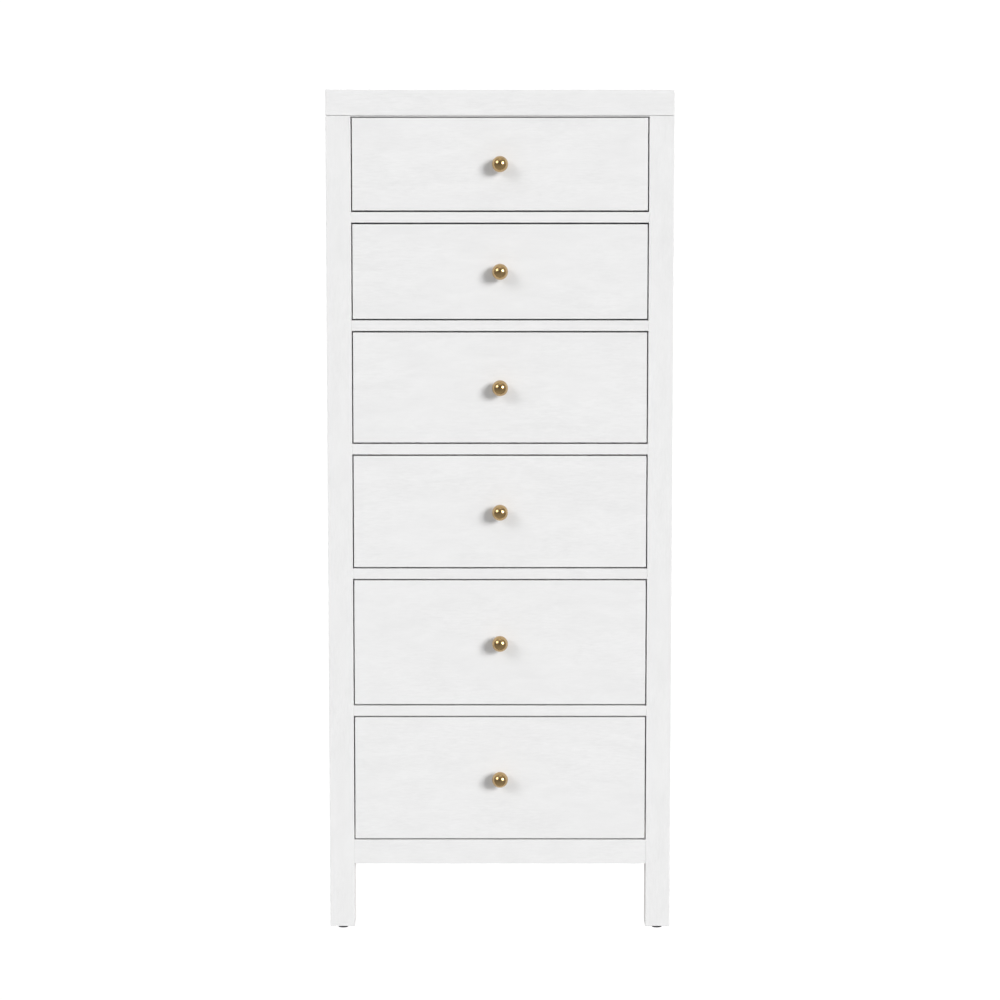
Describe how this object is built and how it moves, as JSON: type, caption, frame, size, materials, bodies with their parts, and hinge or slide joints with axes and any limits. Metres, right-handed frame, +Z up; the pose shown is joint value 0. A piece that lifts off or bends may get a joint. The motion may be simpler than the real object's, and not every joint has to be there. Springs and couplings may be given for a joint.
{
  "type": "tall chest of drawers",
  "caption": "Tall narrow painted chest of drawers on square post legs, with inset flat drawer faces that grow downwards and one round brass knob centred on each.",
  "frame": {"origin": "centre of the bounding box on the floor, under the glides", "axes": "+Z up, drawers face and open towards -Y, +X to the right of someone who faces the drawers"},
  "size_m": [0.559, 0.536, 1.372],
  "materials": {
    "white_paint": "satin white paint over fine-grained hardwood",
    "white_back_panel": "thin white-coated hardboard",
    "bare_wood": "clear-sealed light hardwood",
    "plywood": "clear-sealed birch plywood",
    "brass": "antique brass, satin",
    "zinc_steel": "bright zinc plate",
    "black_plastic": "matt moulded plastic"
  },
  "bodies": {
    "case": {"top_panel": "white_paint", "front_left_post": "white_paint", "front_right_post": "white_paint", "rear_left_post": "white_paint", "rear_right_post": "white_paint", "left_side_panel": "white_paint", "right_side_panel": "white_paint", "back_panel": "white_back_panel", "top_front_rail": "white_paint", "bottom_front_rail": "white_paint", "rear_rails": "bare_wood", "slide_cabinet_members": "zinc_steel", "foot_glides": "black_plastic", "drawer_rail_1": "white_paint", "drawer_rail_2": "white_paint", "drawer_rail_3": "white_paint", "drawer_rail_4": "white_paint", "drawer_rail_5": "white_paint"},
    "drawer_1": {"drawer_1_front": "white_paint", "drawer_1_sides": "bare_wood", "drawer_1_ends": "bare_wood", "drawer_1_bottom": "plywood", "drawer_1_knob": "brass", "drawer_1_slide_members": "zinc_steel"},
    "slide_middle_1": {"slide_1_middle": "zinc_steel"},
    "drawer_2": {"drawer_2_front": "white_paint", "drawer_2_sides": "bare_wood", "drawer_2_ends": "bare_wood", "drawer_2_bottom": "plywood", "drawer_2_knob": "brass", "drawer_2_slide_members": "zinc_steel"},
    "slide_middle_2": {"slide_2_middle": "zinc_steel"},
    "drawer_3": {"drawer_3_front": "white_paint", "drawer_3_sides": "bare_wood", "drawer_3_ends": "bare_wood", "drawer_3_bottom": "plywood", "drawer_3_knob": "brass", "drawer_3_slide_members": "zinc_steel"},
    "slide_middle_3": {"slide_3_middle": "zinc_steel"},
    "drawer_4": {"drawer_4_front": "white_paint", "drawer_4_sides": "bare_wood", "drawer_4_ends": "bare_wood", "drawer_4_bottom": "plywood", "drawer_4_knob": "brass", "drawer_4_slide_members": "zinc_steel"},
    "slide_middle_4": {"slide_4_middle": "zinc_steel"},
    "drawer_5": {"drawer_5_front": "white_paint", "drawer_5_sides": "bare_wood", "drawer_5_ends": "bare_wood", "drawer_5_bottom": "plywood", "drawer_5_knob": "brass", "drawer_5_slide_members": "zinc_steel"},
    "slide_middle_5": {"slide_5_middle": "zinc_steel"},
    "drawer_6": {"drawer_6_front": "white_paint", "drawer_6_sides": "bare_wood", "drawer_6_ends": "bare_wood", "drawer_6_bottom": "plywood", "drawer_6_knob": "brass", "drawer_6_slide_members": "zinc_steel"},
    "slide_middle_6": {"slide_6_middle": "zinc_steel"}
  },
  "joints": [
    {"name": "drawer_1_slide", "type": "slide", "parent": "case", "child": "drawer_1", "axis": [0, -1, 0], "range_m": [0, 0.43]},
    {"name": "slide_middle_1_slide", "type": "slide", "parent": "case", "child": "slide_middle_1", "axis": [0, -1, 0], "range_m": [0, 0.215]},
    {"name": "drawer_2_slide", "type": "slide", "parent": "case", "child": "drawer_2", "axis": [0, -1, 0], "range_m": [0, 0.43]},
    {"name": "slide_middle_2_slide", "type": "slide", "parent": "case", "child": "slide_middle_2", "axis": [0, -1, 0], "range_m": [0, 0.215]},
    {"name": "drawer_3_slide", "type": "slide", "parent": "case", "child": "drawer_3", "axis": [0, -1, 0], "range_m": [0, 0.43]},
    {"name": "slide_middle_3_slide", "type": "slide", "parent": "case", "child": "slide_middle_3", "axis": [0, -1, 0], "range_m": [0, 0.215]},
    {"name": "drawer_4_slide", "type": "slide", "parent": "case", "child": "drawer_4", "axis": [0, -1, 0], "range_m": [0, 0.43]},
    {"name": "slide_middle_4_slide", "type": "slide", "parent": "case", "child": "slide_middle_4", "axis": [0, -1, 0], "range_m": [0, 0.215]},
    {"name": "drawer_5_slide", "type": "slide", "parent": "case", "child": "drawer_5", "axis": [0, -1, 0], "range_m": [0, 0.43]},
    {"name": "slide_middle_5_slide", "type": "slide", "parent": "case", "child": "slide_middle_5", "axis": [0, -1, 0], "range_m": [0, 0.215]},
    {"name": "drawer_6_slide", "type": "slide", "parent": "case", "child": "drawer_6", "axis": [0, -1, 0], "range_m": [0, 0.43]},
    {"name": "slide_middle_6_slide", "type": "slide", "parent": "case", "child": "slide_middle_6", "axis": [0, -1, 0], "range_m": [0, 0.215]}
  ],
  "couplings": [
    {"joint": "slide_middle_1_slide", "follows": "drawer_1_slide", "ratio": 0.5},
    {"joint": "slide_middle_2_slide", "follows": "drawer_2_slide", "ratio": 0.5},
    {"joint": "slide_middle_3_slide", "follows": "drawer_3_slide", "ratio": 0.5},
    {"joint": "slide_middle_4_slide", "follows": "drawer_4_slide", "ratio": 0.5},
    {"joint": "slide_middle_5_slide", "follows": "drawer_5_slide", "ratio": 0.5},
    {"joint": "slide_middle_6_slide", "follows": "drawer_6_slide", "ratio": 0.5}
  ]
}
